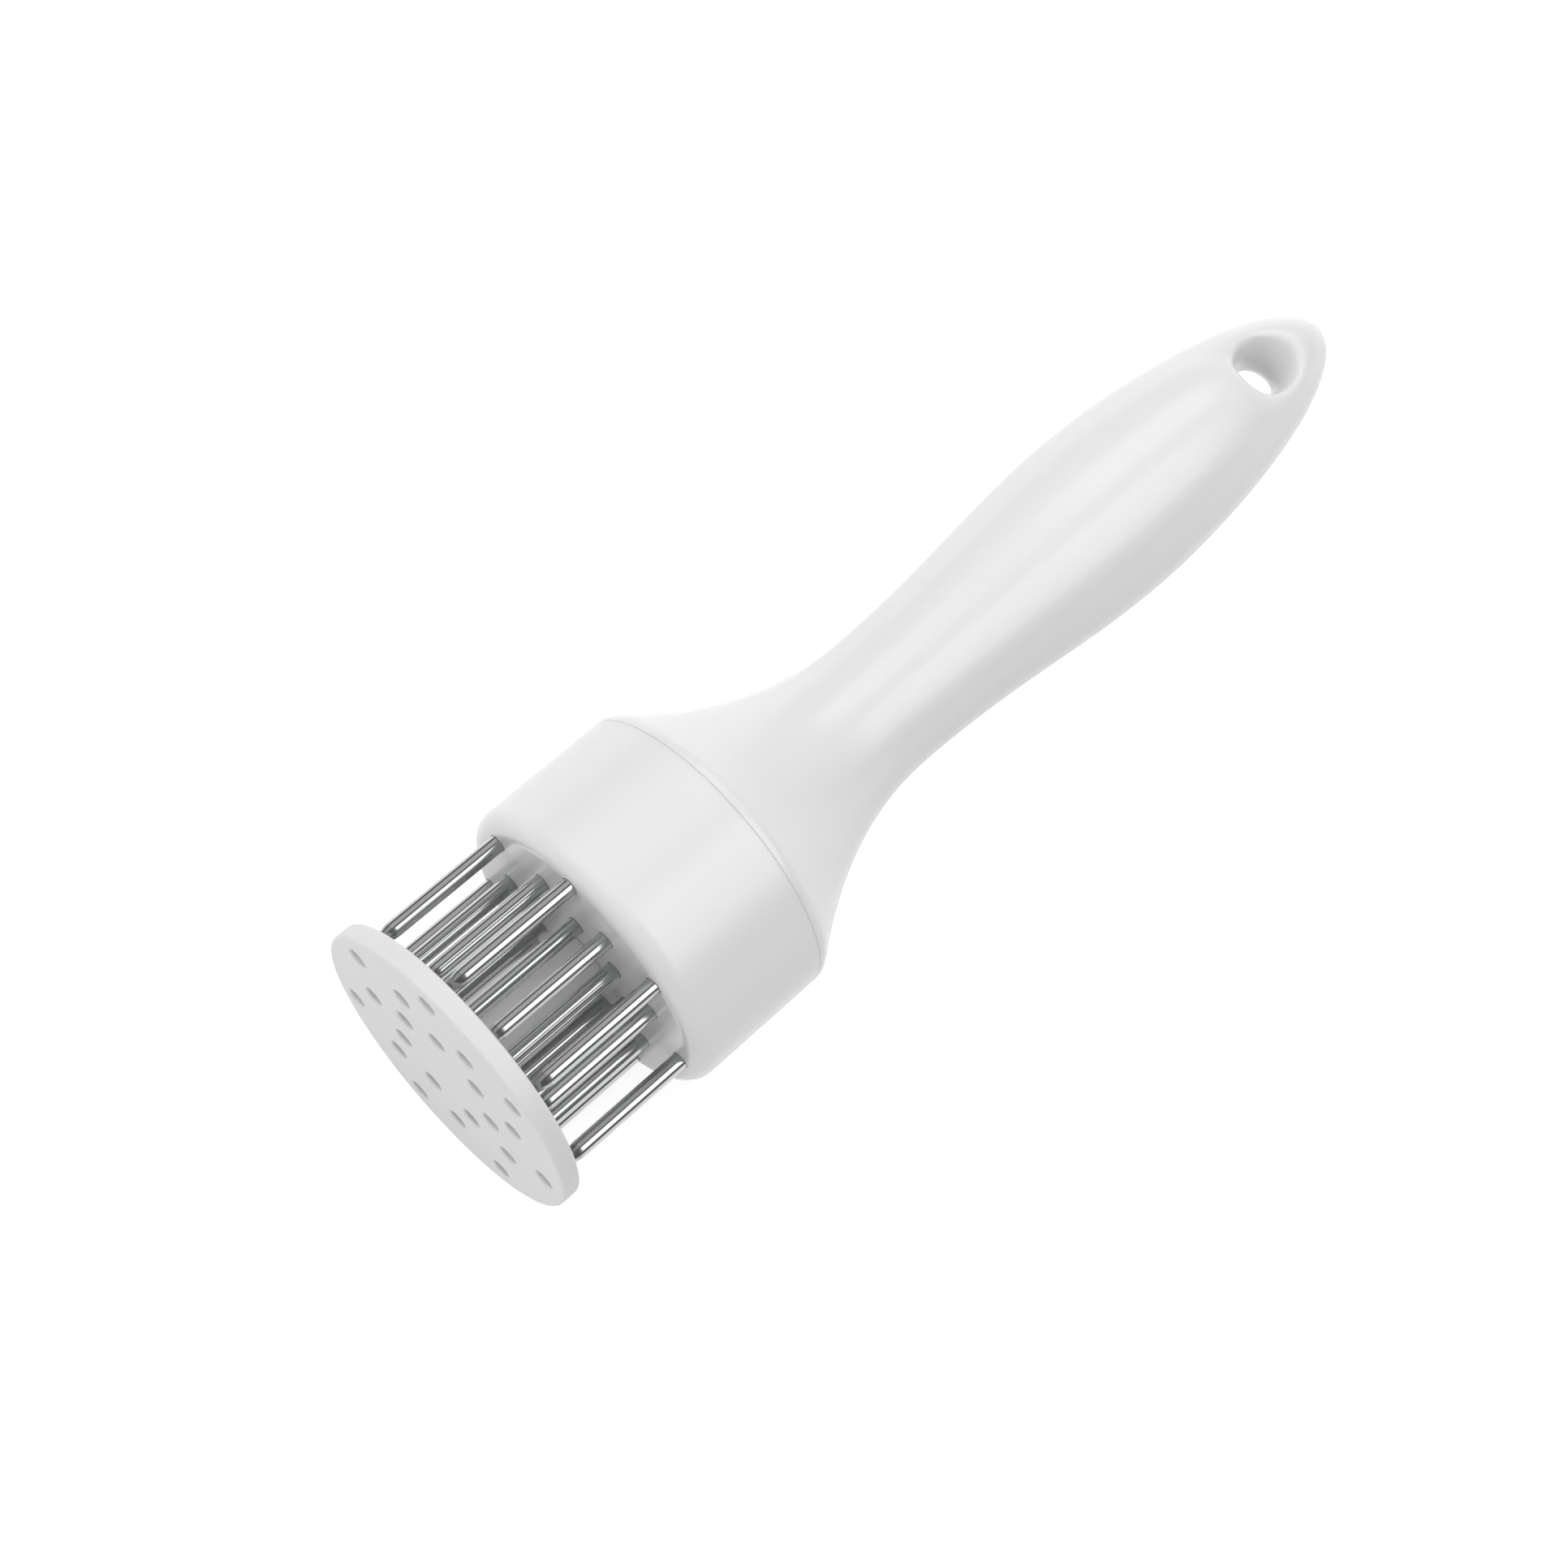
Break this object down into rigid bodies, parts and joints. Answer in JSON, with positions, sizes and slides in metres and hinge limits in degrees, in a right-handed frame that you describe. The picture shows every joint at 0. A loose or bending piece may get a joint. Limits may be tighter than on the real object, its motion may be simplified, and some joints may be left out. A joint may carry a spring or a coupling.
{
  "type": "meat tenderizer",
  "caption": "Hand press meat tenderizer: round steel needles in a round head slide through a sprung press plate under a waisted handle with a hanging hole.",
  "frame": {"origin": "Bottom centre of the bounding box, with the tool lying on its side.", "axes": "+X runs along the tool from the press plate to the handle's tip, the hanging hole's axis is +Z, and +Y is across."},
  "size_m": [0.1906, 0.05, 0.05],
  "materials": {
    "white_plastic": "gloss",
    "needle_steel": "polished",
    "spring_steel": "satin",
    "inner_steel": "satin"
  },
  "bodies": {
    "handle_body": {"handle": "white_plastic", "head_shell": "white_plastic", "needle_clamp_disc": "inner_steel", "return_spring": "spring_steel", "needle_01": "needle_steel", "needle_02": "needle_steel", "needle_03": "needle_steel", "needle_04": "needle_steel", "needle_05": "needle_steel", "needle_06": "needle_steel", "needle_07": "needle_steel", "needle_08": "needle_steel", "needle_09": "needle_steel", "needle_10": "needle_steel", "needle_11": "needle_steel", "needle_12": "needle_steel", "needle_13": "needle_steel", "needle_14": "needle_steel", "needle_15": "needle_steel", "needle_16": "needle_steel", "needle_17": "needle_steel", "needle_18": "needle_steel", "needle_19": "needle_steel", "needle_20": "needle_steel", "needle_21": "needle_steel"},
    "plate_body": {"press_plate": "white_plastic", "stop_washer": "inner_steel", "stop_screw": "inner_steel"}
  },
  "joints": [
    {"name": "plate_slide", "type": "slide", "parent": "handle_body", "child": "plate_body", "axis": [1, 0, 0], "range_m": [0, 0.0227], "stiffness_N_per_m": 450, "springref_m": -0.006, "deforming": ["return_spring"]}
  ]
}
